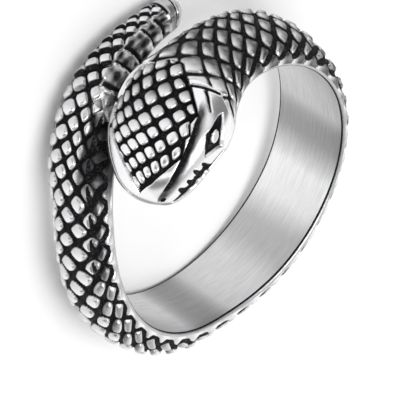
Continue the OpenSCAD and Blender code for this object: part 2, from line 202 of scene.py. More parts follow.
head_column = np.linspace(0, COLUMNS, HEAD_FINE * COLUMNS * FINE + 1)
neck_angle, head_across = spot(np.full(head_column.shape, float(NECK_ROW)), head_column)
share = 1 - (1 - np.linspace(0, 1, HEAD_ROWS)[:, None]) ** SNOUT_CROWDING
head_angle = neck_angle + (HEAD_END - TIP_INSET - neck_angle) * share
head_across = np.broadcast_to(head_across, head_angle.shape)
head_column = np.broadcast_to(head_column, head_angle.shape)

# Points across a rounded edge, by their turn in degrees, and across the bore
EDGE_TURNS, BORE_POINTS = (0, 30, 60), 9
EDGE_POINTS = len(EDGE_TURNS)
WALL_POINTS = 2 * EDGE_POINTS + BORE_POINTS


def bore_side(angle):
    """Rounded edges and bore of each cross-section, from the upper rim to the lower: angle,
    distance beside the spine and height above the bore."""
    low, high = angle[:, 0], angle[:, -1]
    half_low, half_high = width_at(low), width_at(high)
    edge_low = np.minimum(EDGE, EDGE_SHARE * half_low)
    edge_high = np.minimum(EDGE, EDGE_SHARE * half_high)
    line = []
    for turn in EDGE_TURNS:
        fall, rise = 1 - math.cos(math.radians(turn)), 1 - math.sin(math.radians(turn))
        line.append((high, half_high - edge_high * fall, edge_high * rise))
    for part in np.linspace(0, 1, BORE_POINTS):
        beside = (half_high - edge_high) * (1 - part) - (half_low - edge_low) * part
        line.append((high + (low - high) * part, beside, 0 * low))
    for turn in EDGE_TURNS[::-1]:
        fall, rise = 1 - math.cos(math.radians(turn)), 1 - math.sin(math.radians(turn))
        line.append((low, -half_low + edge_low * fall, edge_low * rise))
    return [np.stack(column, 1) for column in zip(*line)]


# Half the step, in millimetres, that finds which way is square to the skin
PROBE = 0.05
blocks = []
for angle, across in ((body_angle, body_across), (head_angle, head_across)):
    outward = (skin(angle, across, PROBE) - skin(angle, across, -PROBE)) / (2 * PROBE)
    wall = placed(*bore_side(angle))
    blocks.append((np.concatenate([skin(angle, across, 0.0), wall], 1),
                   np.concatenate([outward, 0 * wall], 1)))
counts = [block[0].shape[:2] for block in blocks]
body_numbers, head_numbers = (np.arange(rows * width).reshape(rows, width)
                              for rows, width in counts)
head_numbers = head_numbers + body_numbers.size

# Faces between the cross-sections, each with a note of whether it lies in the satin bore
faces, satin = [], []
for numbers in (body_numbers, head_numbers):
    behind, ahead, width = numbers[:-1], numbers[1:], numbers.shape[1]
    faces += np.stack([ahead, np.roll(ahead, -1, -1), np.roll(behind, -1, -1), behind],
                      -1).reshape(-1, 4).tolist()
    bore_from = width - WALL_POINTS + EDGE_POINTS
    position = np.tile(np.arange(width), len(behind))
    satin += ((position >= bore_from) & (position < bore_from + BORE_POINTS - 1)).tolist()

# The joint at the neck, where the head has more points on its back than the body
last, ahead = body_numbers[-1], head_numbers[0]
for c in range(COLUMNS * FINE):
    near = ahead[HEAD_FINE * c:HEAD_FINE * (c + 1) + 1]
    faces += [[near[1], last[c + 1], last[c]], [near[0], near[1], last[c]]]
    faces += [[near[k], near[k + 1], last[c + 1]] for k in range(1, HEAD_FINE)]
    satin += [False] * (HEAD_FINE + 1)
wall_last = np.append(last[-WALL_POINTS - 1:], last[0])
wall_ahead = np.append(ahead[-WALL_POINTS - 1:], ahead[0])
for c in range(WALL_POINTS + 1):
    faces.append([wall_ahead[c], wall_ahead[c + 1], wall_last[c + 1], wall_last[c]])
    satin.append(0 <= c - 1 - EDGE_POINTS < BORE_POINTS - 1)

# The tail's tip and the snout are closed with a point in their middle
points = np.concatenate([block[0].reshape(-1, 3) for block in blocks])
for loop, order in ((body_numbers[0], 1), (head_numbers[-1], -1)):
    middle = len(points)
    points = np.concatenate([points, points[loop].mean(0, keepdims=True)])
    pairs = np.stack([loop, np.roll(loop, -1)], 1)[:, ::order]
    faces += [[*pair, middle] for pair in pairs.tolist()]
    satin += [False] * len(loop)

# The ring comes to rest on its tail and lower rim: it leans by REST_TILT, the tail props it up in
# the direction REST_LIFT, and REST_TURN brings the head to the front. CENTRE is the point on the
# table under the middle of the ring, which becomes the origin.
REST_TILT, REST_LIFT, REST_TURN = math.radians(8.55), math.radians(79.5), math.radians(135)
RESTING = (Matrix.Rotation(REST_TURN + REST_LIFT, 3, "Z") @ Matrix.Rotation(-REST_TILT, 3, "Y")
           @ Matrix.Rotation(-REST_LIFT, 3, "Z"))
resting = np.array(RESTING)
CENTRE = np.array([0.589361, -0.706045, -1.4558])
points = (points @ resting.T - CENTRE) * MM
away = np.concatenate([block[1].reshape(-1, 3) for block in blocks] + [np.zeros((2, 3))])

mesh = bpy.data.meshes.new("snake_skin")
mesh.from_pydata(points.tolist(), [], faces)


def spread(on_body, on_head):
    """One value for each point, from those on the back of the body and the head, and else 0."""
    parts = []
    for (rows, width), values in zip(counts, (on_body, on_head)):
        whole = np.zeros((rows, width))
        whole[:, :values.shape[-1]] = values
        parts.append(whole.reshape(-1))
    return np.concatenate(parts + [np.zeros(2)])


def write(name, values, kind="FLOAT", domain="POINT"):
    """Keeps values on the mesh for the tree of nodes that cuts the scales."""
    holder = mesh.attributes.new(name, kind, domain)
    key = "vector" if kind == "FLOAT_VECTOR" else "value"
    holder.data.foreach_set(key, np.ascontiguousarray(values).reshape(-1))


NO_BODY = np.zeros(body_row.shape)
columns, angles = spread(body_column, head_column), spread(body_angle, head_angle)
acrosses = spread(body_across, head_across)
write("away", away @ resting.T * MM, "FLOAT_VECTOR")
write("bore_place", (points / MM + CENTRE) @ resting, "FLOAT_VECTOR")
write("satin", np.array(satin), "BOOLEAN", "FACE")

# Painted dark reflection along the rounded edges of the bore, over three points on either side
EDGE_DARK_REFLECTION = (0.25, 0.75, 1.0)
bore_edge_reflection = [np.zeros(count) for count in counts]
for values in bore_edge_reflection:
    values[:, 1 - WALL_POINTS:1 - WALL_POINTS + EDGE_POINTS] = EDGE_DARK_REFLECTION
    values[:, -1 - EDGE_POINTS:-1] = EDGE_DARK_REFLECTION[::-1]
bore_edge_reflection = np.concatenate([values.reshape(-1) for values in bore_edge_reflection] + [np.zeros(2)])


# The tail is cast with cross ridges on its near side instead of scales. The metal between them
# is rough, with the head's shade painted on it in black and grey, and painted grey shade lies on
# its polished tip, round which two thin lines run.

# Angles of the ridges, and how many degrees they slant for the whole way across
TAIL_RIDGES = np.array([70, 85, 94, 100, 109, 114.5, 123, 129, 137, 520])
RIDGE_SLANT, RIDGE_SIDE = 6, 0.7
# Where the ridges fade out along the tail and across it, and where the tip ends
RIDGES_END, RIDGES_FROM, TIP_END = (134, 122), (0.62, RIDGE_SIDE), (88.5, 87)
# The lines round the tip: angle, slant for the whole way across
FIRST_LINE, SECOND_LINE, SECOND_SLANT = 87.2, 82.5, 3
RIDGE_DEPTH, ROUGH_DEPTH, LINE_DEPTH = 0.24, 0.05, 0.15
# Painted shade of the head in black: under the ridges, on the rough metal, on the sheltered flank
UNDER_RIDGE_SHADE, ROUGH_SHADE, ROUGH_SHADE_SWING, SHELTERED_SHADE = 0.85, 0.5, 0.28, 0.5
# Painted shade of the head in grey, on the rough metal and on the tip
ROUGH_GREY_SHADE, ROUGH_GREY_SHADE_SWING, TIP_SHADE = 0.75, 0.4, 0.45

tip = ease(*TIP_END, angles)
ridged = ease(*RIDGES_END, angles) * ease(*RIDGES_FROM, acrosses)
between = np.interp(angles + RIDGE_SLANT * (acrosses - RIDGE_SIDE), TAIL_RIDGES,
                    np.arange(len(TAIL_RIDGES))) % 1
# Patches of the rough metal, from two waves that cross
rough = np.sin(0.7 * angles + 17 * acrosses) * np.sin(0.45 * angles - 25 * acrosses)
# Shares of the way from one ridge to the next
under_ridge = ease(0.58, 0.86, between) * ease(1.0, 0.96, between)
behind_ridge, grey_shade_from = ease(0.1, 0.25, between), ease(0.05, 0.16, between)
first_line = ease(0.9, 0.3, np.abs(angles - FIRST_LINE)) * (acrosses < 0.75)
second_line = (ease(0.7, 0.2, np.abs(angles - SECOND_LINE - SECOND_SLANT * (acrosses - 0.5)))
               * (acrosses > 0.3))
# The flank in the shade of the head, where the ridges give way to scales; the shade is painted on
# it
sheltered_flank = ease(165, 148, angles) * ease(126, 134, angles) * ease(4.6, 5.4, columns)
ridged_only = ridged * (1 - tip)
# Black: the head's painted shade, and the oxide in the lines round the tip
tail_soot_and_shade = np.max([UNDER_RIDGE_SHADE * ridged_only * under_ridge,
                    (ROUGH_SHADE + ROUGH_SHADE_SWING * rough) * ridged_only * behind_ridge,
                    first_line, second_line, SHELTERED_SHADE * sheltered_flank], axis=0)
# Grey: the head's painted shade
tail_shade = np.max([(ROUGH_GREY_SHADE + ROUGH_GREY_SHADE_SWING * rough) * ridged_only * grey_shade_from,
                    TIP_SHADE * tip, sheltered_flank], axis=0)
write("dips", np.maximum((RIDGE_DEPTH + ROUGH_DEPTH * rough) * ridged_only * between,
                         LINE_DEPTH * tail_soot_and_shade))


# The head is part of the same casting and stands over the upper rim. Its top has a sunk shield
# of small square scales. Beside it lie a smooth brow over a blackened channel, an almond eye in
# its socket, a jagged mouth and a nostril.

# Places on the head are (angle round the ring, share of the way across). FLAT turns them into
# millimetres.
FLAT = np.array([0.22, 12.0])
# The shield's outline
SHIELD_EDGE = [
    (503, 0.46), (499.3, 0.42), (495.4, 0.35), (490.3, 0.28), (486, 0.225), (481.5, 0.165),
    (478.5, 0.13), (474, 0.145), (469.5, 0.2), (466, 0.27), (463.2, 0.34), (462.3, 0.45),
    (467.1, 0.54), (470.5, 0.605), (480.3, 0.715), (484, 0.695), (487.3, 0.735), (489, 0.72),
    (493.5, 0.77), (497.2, 0.705), (500.5, 0.62),
]
# Columns: angle, left edge and right edge of the channel
CHANNEL = np.array([
    (476, 0.7, 0.75), (480.5, 0.72, 0.77), (484, 0.727, 0.79), (486.8, 0.74, 0.81),
    (489.2, 0.752, 0.83), (491.8, 0.764, 0.855), (494.4, 0.775, 0.88), (497, 0.783, 0.895),
    (500, 0.785, 0.9), (502.5, 0.765, 0.895), (504.5, 0.73, 0.88),
])
EYE_SOCKET = [(474.3, 0.868), (481.6, 0.934), (485.7, 0.994), (488.8, 0.972), (491.4, 0.948),
              (488.9, 0.889), (486, 0.841), (483.5, 0.846), (477.6, 0.849)]
# The eyeball's place, its half length and half width in millimetres, and its turn in degrees
EYEBALL, EYE_LONG, EYE_WIDE, EYE_TURN = (485.2, 0.912), 0.66, 0.37, 43.0
# The mouth's line, and the notches between the teeth, from the mouth up
MOUTH = [(486.6, 1.036), (490.3, 1.03), (492.7, 1.028), (493.8, 1.0), (495.5, 1.018),
         (497, 0.995), (498.6, 1.014), (500.1, 0.997), (501.2, 1.008), (502.6, 1.006),
         (504.7, 1.018)]
TEETH = [[(492.7, 1.02), (493.2, 0.969)], [(495.5, 1.012), (495.8, 0.943)],
         [(498.5, 1.008), (498.6, 0.955)], [(501.2, 1.003), (501.2, 0.936)]]
# Half widths of a notch between the teeth, at its end and at the mouth
TOOTH_TIP, TOOTH_ROOT = 0.07, 0.22
# The nostril's place, and its half sizes in degrees and in shares of the way across
NOSTRIL, NOSTRIL_LONG, NOSTRIL_WIDE = (504.8, 0.85), 0.6, 0.06
# The thin line between the shield and the head's far border
BORDER = [(476, 0.12), (481, 0.165), (487.1, 0.195), (494, 0.215), (499.4, 0.25), (503.2, 0.3)]
# Thin grooves from the brow out on the neck, and their half width by the angle
STRIPS = [[(466.7, 0.5), (469.5, 0.579), (471.3, 0.613), (475, 0.66), (481, 0.728)],
          [(468.6, 0.69), (470.5, 0.718), (477.4, 0.786)],
          [(469.6, 0.57), (468.9, 0.606), (467.8, 0.652), (466.7, 0.715), (465.8, 0.778)]]
STRIP_ANGLES, STRIP_WIDTHS = [466, 480], [0.17, 0.05]
# Angle at which the neck's scales end, by the share of the way across
NECK_END = np.array([(0, 468), (0.25, 466), (0.41, 467), (0.55, 467.5), (0.6, 466),
                     (0.78, 464.5), (0.84, 467), (0.93, 470), (1, 468)])
# The shield's lattice: one of its scales, the shares of the way across to the next in a row and
# in a column, the degrees that a row takes for the whole way across, the degrees to the next
# column, and how much that step grows
SQUARE_ANGLE, SQUARE_ACROSS = 480.2, 0.316
ROW_SHARE, COLUMN_SHARE, ROW_DEGREES = 0.072, 0.053, 56.25
COLUMN_DEGREES, COLUMN_BEND = 4.28, 0.33
# Depths in millimetres
CHANNEL_DEPTH, BORDER_DEPTH, SOCKET_DEPTH, BALL_HEIGHT = 0.1, 0.06, 0.32, 0.3
MOUTH_DEPTH, NOSTRIL_DEPTH, STRIP_DEPTH = 0.24, 0.3, 0.2
# Millimetres inside an outline, or out from a line, over which a form comes in
SHIELD_IN, RIM_IN, RIM_OUT, SOCKET_IN = (-0.04, 0.1), (-0.12, -0.03), (0.16, 0.06), (-0.08, 0.03)
MOUTH_OUT, BORDER_OUT = (0.21, 0.12), (0.12, 0.05)
# The same in shares of a form's own half width
LINE_OUT, NOSTRIL_OUT, BALL_OUT, BALL_SOOT = (1.3, 0.7), (1.2, 0.8), (1.15, 0.75), (0.97, 0.75)
# Shares of the channel's width, from its left edge, over which it and its dark parts come and go
CHANNEL_IN, CHANNEL_DARK_IN = (-0.06, 0.03), (-0.06, 0.02)
SHADE_OUT, SOOT_OUT = (1.35, 0.45), (0.95, 0.2)
# Oxide in the channel and border, and painted shade on the head's far side and the shield
CHANNEL_SOOT, BORDER_SOOT, FAR_SIDE_SHADE, SHIELD_SHADE = 0.95, 0.8, 0.45, 0.9


def along_line(place, line):
    """Distance in millimetres from places on the skin to a line through the given points."""
    nearest = np.full(place.shape[:-1], np.inf)
    for a, b in zip(line[:-1], line[1:]):
        a, b = np.array(a) * FLAT, np.array(b) * FLAT
        t = np.clip(((place - a) @ (b - a)) / ((b - a) @ (b - a)), 0, 1)
        nearest = np.minimum(nearest, np.linalg.norm(place - a - t[..., None] * (b - a), axis=-1))
    return nearest


def depth_inside(place, edge):
    """Distance to an outline, positive inside it."""
    inside = np.zeros(place.shape[:-1], bool)
    for a, b in zip(edge, edge[1:] + edge[:1]):
        a, b = np.array(a) * FLAT, np.array(b) * FLAT
        if a[1] == b[1]:
            continue
        crosses = (a[1] > place[..., 1]) != (b[1] > place[..., 1])
        reach = (place[..., 1] - a[1]) / (b[1] - a[1]) * (b[0] - a[0])
        inside ^= crosses & (place[..., 0] < a[0] + reach)
    return np.where(inside, 1, -1) * along_line(place, edge + edge[:1])


head_place = np.stack([head_angle, head_across], -1) * FLAT
inward = depth_inside(head_place, SHIELD_EDGE)
shield = ease(*SHIELD_IN, inward)
shield_rim = ease(*RIM_IN, inward) * ease(*RIM_OUT, inward)

# The pairs of angles are where the channel and its dark parts begin and are full
left, right = (np.interp(head_angle, CHANNEL[:, 0], CHANNEL[:, k]) for k in (1, 2))
beside = (head_across - left) / (right - left)
cove = ease(*CHANNEL_IN, beside) * np.clip(1 - beside, 0, 1)
channel = ease(478, 484, head_angle) * ease(506, 504.5, head_angle) * cove**1.5
# Painted shade in the channel, darkest by its left edge, in place of the shade of a deeper cove
channel_shade = (ease(472, 480, head_angle) * ease(506, 505, head_angle)
                * ease(*CHANNEL_DARK_IN, beside) * ease(*SHADE_OUT, beside))
channel_soot = (CHANNEL_SOOT * ease(478, 483, head_angle) * ease(504, 501.5, head_angle)
                * ease(*CHANNEL_DARK_IN, beside) * ease(*SOOT_OUT, beside))

socket = ease(*SOCKET_IN, depth_inside(head_place, EYE_SOCKET))
from_ball = head_place - np.array(EYEBALL) * FLAT
c, s = math.cos(math.radians(EYE_TURN)), math.sin(math.radians(EYE_TURN))
out_of_ball = np.hypot((from_ball[..., 0] * c + from_ball[..., 1] * s) / EYE_LONG,
                       (from_ball[..., 1] * c - from_ball[..., 0] * s) / EYE_WIDE)
ball = ease(*BALL_OUT, out_of_ball)

mouth = ease(*MOUTH_OUT, along_line(head_place, MOUTH)) * ease(505.5, 504, head_angle)
for tooth in TEETH:
    half = np.interp(head_across, [tooth[1][1], tooth[0][1]], [TOOTH_TIP, TOOTH_ROOT])
    mouth = np.maximum(mouth, ease(*LINE_OUT, along_line(head_place, tooth) / half))
nostril = ease(*NOSTRIL_OUT, np.hypot((head_angle - NOSTRIL[0]) / NOSTRIL_LONG,
                                      (head_across - NOSTRIL[1]) / NOSTRIL_WIDE))
border = ease(*BORDER_OUT, along_line(head_place, BORDER))
half = np.interp(head_angle, STRIP_ANGLES, STRIP_WIDTHS)
strips = np.max([ease(*LINE_OUT, along_line(head_place, line) / half) for line in STRIPS], axis=0)

carving = (CHANNEL_DEPTH * channel + BORDER_DEPTH * border
           + socket * (SOCKET_DEPTH - BALL_HEIGHT * ball) + MOUTH_DEPTH * mouth
           + NOSTRIL_DEPTH * nostril + STRIP_DEPTH * strips)
head_soot = np.max([channel_soot, socket * ease(*BALL_SOOT, ball), mouth, nostril,
                    BORDER_SOOT * border, strips], axis=0)
# Painted shade along the head's far side
far_side_shade = FAR_SIDE_SHADE * ease(0.27, 0.2, head_across) * ease(474, 480, head_angle)
over = ROW_DEGREES * (head_across - SQUARE_ACROSS) + SQUARE_ANGLE - head_angle
root = np.sqrt(COLUMN_DEGREES**2 + 4 * COLUMN_BEND * np.maximum(over, 0))
square_column = np.where(over < 0, over / COLUMN_DEGREES,
                         (root - COLUMN_DEGREES) / (2 * COLUMN_BEND))
square_row = (head_across - SQUARE_ACROSS - COLUMN_SHARE * square_column) / ROW_SHARE

write("square_row", spread(NO_BODY, square_row))
write("square_column", spread(NO_BODY, square_column))
write("shield", spread(NO_BODY, shield))
write("shield_rim", spread(NO_BODY, shield_rim))
# Painted shade on the shield's square scales, strongest towards the neck
write("shield_shade", SHIELD_SHADE * ease(492, 472, angles))
write("carving", spread(NO_BODY, carving))
write("soot_shade_and_reflection", np.max([spread(NO_BODY, head_soot), tail_soot_and_shade, bore_edge_reflection], axis=0))
# Painted shade: on the tail, in the channel and along the head's far side
write("tail_and_head_shade", np.maximum(tail_shade, spread(NO_BODY, np.maximum(channel_shade, far_side_shade))))


# The body's scales are cast in staggered rows between two families of grooves that cross on the
# back. They are small squares at the tail, rounded on the near flank, and lie like leaves on the
# neck. The tree cuts the grooves and the shield's square scales, square to the skin.

# Degrees that a row takes on the neck, degrees past its end over which its scales fade, and the
# half width from which the grooves are at full depth
NECK_ROW_DEGREES, NECK_FADE, FULL_DEPTH_AT = 4.5, (1.0, -1.0), 1.6
# Angles over which the near flank's scales become those of the back, the neck and the tail, and
# over which the flank's scoops and the tail's dark upper corners come in
TO_BACK, AT_NECK, AT_TAIL, LEAVES_END = (330, 400), (450, 462), (150, 105), (469, 456)
SCOOPS_IN, CORNERS_IN = (194, 176), (140, 118)
# Columns at which the grooves run out at the upper and the lower rim, and get shallower
UPPER_RIM, LOWER_RIM, SHALLOW_FROM, SHALLOWER = (7.75, 7.95), (0.6, 0.1), (7.2, 7.8), 0.75
# Widths of the grooves by column, on the front of the ring and on its back and neck: shares of
# the tree's widths
RISING_FRONT = ([4, 5, 6, 7, 7.5, 8], [1, 1.0, 1.25, 1.4, 1.5, 1.2])
RISING_BACK = ([4, 7, 8], [0.7, 0.75, 0.35])
FALLING_FRONT = ([4, 5, 6, 6.9, 7.2, 7.6, 8], [1, 0.9, 0.4, 0.3, 0.7, 0.8, 0.4])
FALLING_BACK = ([4, 6, 7, 7.7, 8], [0.85, 0.9, 1.4, 1.5, 0.6])
RISING_AT_TAIL, FALLING_AT_TAIL, RISING_AT_NECK, FALLING_AT_NECK = 0.4, 0.4, 0.15, 0.5

neck_limit = np.interp(head_across, NECK_END[:, 0], NECK_END[:, 1])
neck = ease(*NECK_FADE, head_angle - neck_limit) * (1 - shield)
outer = np.abs(columns - COLUMNS / 2) + COLUMNS / 2
to_back, at_neck, at_tail = (ease(*span, angles) for span in (TO_BACK, AT_NECK, AT_TAIL))


def groove_widths(front, back, tail_loss, neck_loss):
    """Widths of one family of grooves, which narrow towards the tail and the neck."""
    widths = (1 - to_back) * np.interp(outer, *front) + to_back * np.interp(outer, *back)
    return widths * (1 - tail_loss * at_tail) * (1 - neck_loss * at_neck)


write("row", spread(body_row, NECK_ROW + (head_angle - neck_angle) / NECK_ROW_DEGREES))
write("column", columns)
write("rising_wide", groove_widths(RISING_FRONT, RISING_BACK, RISING_AT_TAIL, RISING_AT_NECK))
write("falling_wide", groove_widths(FALLING_FRONT, FALLING_BACK, FALLING_AT_TAIL, FALLING_AT_NECK))
write("grooves", spread(ease(0, FULL_DEPTH_AT, width_at(body_angle)), neck) * (1 - ridged)
      * (1 - tip))
write("to_back", to_back)
write("scooping", ease(*SCOOPS_IN, angles))
write("at_rim", np.maximum(ease(*UPPER_RIM, columns), ease(*LOWER_RIM, columns)))
write("shallow", SHALLOWER * ease(*SHALLOW_FROM, columns))
write("on_tail", ease(*CORNERS_IN, angles))
write("leafy", to_back * ease(*LEAVES_END, angles))


class Term:
    """A socket of a node tree. Python's operators on it add Math nodes."""

    def __init__(self, tree, socket=None):
        self.tree, self.socket = tree, socket

    def add(self, kind, settings=None, values=None, output=0):
        """Adds a node: its settings first, then the values or links of its sockets."""
        node = self.tree.nodes.new(kind)
        for name, value in (settings or {}).items():
            setattr(node, name, value)
        for key, value in (values or {}).items():
            if isinstance(value, Term):
                self.tree.links.new(value.socket, node.inputs[key])
            else:
                node.inputs[key].default_value = value
        return Term(self.tree, node.outputs[output] if len(node.outputs) else None)

    def math(self, operation, *terms):
        return self.add("ShaderNodeMath", {"operation": operation}, dict(enumerate(terms)))

    def step(self, low, high):
        """Smooth step from 0 at low to 1 at high."""
        return self.add("ShaderNodeMapRange", {"interpolation_type": "SMOOTHSTEP"},
                        {0: self, 1: low, 2: high, 3: 0.0, 4: 1.0})

    def mix(self, low, high):
        """Goes from low to high as this goes from 0 to 1."""
        return low + (high - low) * self

    def most(self, other):
        """The larger of this and another."""
        return self.math("MAXIMUM", self, other)

    def whole(self):
        return self.math("FLOOR", self)

    def part(self):
        return self.math("FRACT", self)

    def __add__(self, other): return self.math("ADD", self, other)
    def __radd__(self, other): return self.math("ADD", other, self)
    def __sub__(self, other): return self.math("SUBTRACT", self, other)
    def __rsub__(self, other): return self.math("SUBTRACT", other, self)
    def __mul__(self, other): return self.math("MULTIPLY", self, other)
    def __rmul__(self, other): return self.math("MULTIPLY", other, self)
    def __truediv__(self, other): return self.math("DIVIDE", self, other)
    def __rtruediv__(self, other): return self.math("DIVIDE", other, self)
    def __pow__(self, other): return self.math("POWER", self, other)
    def __abs__(self): return self.math("ABSOLUTE", self)


# Depths are in millimetres. Groove widths, scale lengths and scale widths are shares of a cell.
INPUTS = {
    "Groove depth": 0.34, "Rising groove width": 0.26, "Falling groove width": 0.38,
    "Scale roundness": 3.2, "Crown": 0.06, "Scoop": 0.08, "Slope": 0.2, "Shield depth": 0.4,
    "Square scale length": 0.335, "Square scale width": 0.375, "Unevenness": 0.04, "Seed": 7.0,
}
tree = bpy.data.node_groups.new("cast_scales", "GeometryNodeTree")
tree.interface.new_socket("Geometry", in_out="INPUT", socket_type="NodeSocketGeometry")
for name, value in INPUTS.items():
    socket = tree.interface.new_socket(name, in_out="INPUT", socket_type="NodeSocketFloat")
    socket.default_value = value
for name in ("Polished", "Satin"):
    tree.interface.new_socket(name, in_out="INPUT", socket_type="NodeSocketMaterial")
tree.interface.new_socket("Geometry", in_out="OUTPUT", socket_type="NodeSocketGeometry")
make = Term(tree)
given = {socket.name: Term(tree, socket)
         for socket in tree.nodes.new("NodeGroupInput").outputs if socket.name}


def named(name, kind="FLOAT"):
    """What the mesh keeps under a name."""
    return make.add("GeometryNodeInputNamedAttribute", {"data_type": kind}, {"Name": name})


def draw(a, b, family, seed):
    """Random share for each cell of a lattice."""
    cell = make.add("ShaderNodeCombineXYZ", None, {0: a.whole(), 1: b.whole(), 2: family})
    return make.add("ShaderNodeTexWhiteNoise", {"noise_dimensions": "4D"}, {0: cell, 1: seed})


def pillow(a, b, half_a, half_b, power):
    """How far out a place is on a rounded scale: 0 in its middle and 1 at its edge."""
    across_a, across_b = abs(a.part() - 0.5) / half_a, abs(b.part() - 0.5) / half_b
    return (across_a**power + across_b**power) ** (1.0 / power)


# The body's scales: how much wider or narrower luck makes their grooves, how much squarer they are
# on the back, how much leaves taper, and where on a scale its side begins and ends
BODY_CELLS, SHIELD_CELLS, SECOND_DRAW = 0.0, 1.0, 3.0
RISING_LUCK, FALLING_LUCK, SQUARER_BACK, TAPER = (0.8, 1.2), (0.85, 1.15), 1.7, 0.28
SIDE = (0.86, 1.22)
grooves, back, scooping = named("grooves"), named("to_back"), named("scooping")
front, inside_rim = 1.0 - back, 1.0 - named("at_rim")
rising = (named("row") + named("column")) * 0.5
falling = (named("row") - named("column")) * 0.5
down, left = rising.part(), falling.part()
luck = draw(rising, falling, BODY_CELLS, given["Seed"])
luck_size = draw(rising, falling, BODY_CELLS, given["Seed"] + SECOND_DRAW)
half_rising = 0.5 - (given["Rising groove width"] * 0.5 * named("rising_wide")
                     * luck_size.mix(*RISING_LUCK))
half_falling = 0.5 - (given["Falling groove width"] * 0.5 * named("falling_wide")
                      * luck.mix(*FALLING_LUCK))
out = pillow(rising, falling, half_rising, half_falling,
             given["Scale roundness"] * back.mix(1.0, SQUARER_BACK))
out = out * (1.0 + TAPER * named("leafy") * (down + left - 1.0))

# The near flank has a column of scooped scales and beside it one that lies in the rim's shade. A
# scoop is a wedge that opens from the scale's low corner.
SCOOPED_COLUMN, SHADED_COLUMN = 6.0, 7.0
WEDGE_MIDDLE, WEDGE_SIDE, WEDGE_START = 0.72, (0.2, 0.36), (0.12, 0.35)
cell_column = rising.whole() - falling.whole()
scooped = front * (1.0 - abs(cell_column - SCOOPED_COLUMN)).most(0.0)
shaded = front * (1.0 - abs(cell_column - SHADED_COLUMN)).most(0.0)
ray = left / (down + 0.05)
hollow = (scooping * scooped * (1.0 - abs(ray - WEDGE_MIDDLE).step(*WEDGE_SIDE))
          * down.step(*WEDGE_START))
slope = (shaded + back) * (1.0 - down)
uneven = (luck - 0.5) + (luck_size - 0.5) * (down - 0.5) * 2.0
side = out.step(*SIDE)
body_depth = grooves * inside_rim * (1.0 - named("shallow")) * (
    given["Groove depth"] * side
    + (1.0 - side) * (given["Crown"] * out**4.0 + given["Scoop"] * hollow
                      + given["Slope"] * slope + given["Unevenness"] * uneven))

# The shield's square scales, a little below the brow
SQUARE_SINK, SQUARE_CROWN, SQUARE_ROUNDNESS = 0.05, 0.05, 3.2
SQUARE_LUCK, SQUARE_SIDE = (0.86, 1.12), (0.95, 1.2)
row_at, column_at = named("square_row") + 0.5, named("square_column") + 0.5
on_shield, on_shield_rim = named("shield"), named("shield_rim")
square_size = draw(row_at, column_at, SHIELD_CELLS, given["Seed"]).mix(*SQUARE_LUCK)
square = pillow(row_at, column_at, given["Square scale length"] * square_size,
                given["Square scale width"] * square_size, SQUARE_ROUNDNESS)
square_side = square.step(*SQUARE_SIDE)
shield_depth = on_shield * (given["Shield depth"] * square_side + (1.0 - square_side) * (
    SQUARE_SINK + SQUARE_CROWN * square * square))
shield_depth = shield_depth.most(on_shield_rim * given["Shield depth"])

depth = body_depth.most(shield_depth) + named("carving") + named("dips")
sunk = make.add("ShaderNodeVectorMath", {"operation": "SCALE"},
                {0: named("away", "FLOAT_VECTOR"), "Scale": 0.0 - depth})
cut = make.add("GeometryNodeSetPosition", None, {"Geometry": given["Geometry"], "Offset": sunk})

# For the metal: how far out on its scale a place is, where it is black from oxide, painted shade
# and painted dark reflections, and where grey painted shade lies on the tops
RIM_WAY = 1.3
way = (grooves * inside_rim * out).most(on_shield * square).most(RIM_WAY * on_shield_rim)
# Black: painted shade on scales in the rim's shade, and oxide with painted shade in the scoops
oxide_shade_reflection = (0.8 * scooping * shaded * (1.0 - down.step(0.2, 0.6))).most(0.95 * hollow)
oxide_shade_reflection = inside_rim * oxide_shade_reflection.most(named("on_tail") * down.step(0.5, 0.8))
oxide_shade_reflection = (grooves * oxide_shade_reflection).most(named("soot_shade_and_reflection"))
# Painted grey shade on the tops of the leaves, flank and crest, darker at each scale's upper end
leaf_shade = 0.95 * (named("leafy") * (1.0 - (down + left).step(0.8, 1.85)))
flank_shade = (scooping.mix(0.55, 0.95) * shaded * (1.0 - down.step(0.45, 1.0))
              + 0.7 * scooping * scooped * (1.0 - ray.step(0.4, 0.55))
              + 0.9 * (1.0 - scooping) * scooped * (1.0 - down.step(0.15, 0.85)))
crest_shade = 0.3 * (1.0 - (down + left).step(0.6, 1.5))
# Painted grey shade on the shield's square scales, darker on one side of each
shield_painted_shade = (named("shield_shade") * on_shield
               * (column_at.part() - row_at.part()).step(-0.7, 0.7))
painted_shade = grooves * leaf_shade.most(flank_shade).most(crest_shade)
painted_shade = painted_shade.most(shield_painted_shade).most(named("tail_and_head_shade"))

kept = cut
for name, value in (("groove_way", way), ("oxide_shade_reflection", oxide_shade_reflection), ("painted_shade", painted_shade)):
    kept = make.add("GeometryNodeStoreNamedAttribute", {"data_type": "FLOAT", "domain": "POINT"},
                    {"Geometry": kept, "Name": name, "Value": value})
kept = make.add("GeometryNodeSetShadeSmooth", None, {"Geometry": kept, "Shade Smooth": True})
kept = make.add("GeometryNodeRealizeInstances", None, {"Geometry": kept})
kept = make.add("GeometryNodeSetMaterial", None, {"Geometry": kept, "Material": given["Polished"]})
kept = make.add("GeometryNodeSetMaterial", None, {
    "Geometry": kept, "Selection": named("satin", "BOOLEAN"), "Material": given["Satin"]})
tree.links.new(kept.socket, tree.nodes.new("NodeGroupOutput").inputs["Geometry"])


# The metal is the same steel all over, finished in two ways: tumbled and polished outside, over
# black oxide in the grooves, and rubbed round and round with fine abrasive in the finger hole.

def new_material(name):
    material = bpy.data.materials.new(name)
    material.use_nodes = True
    material.node_tree.nodes.clear()
    return material, Term(material.node_tree)


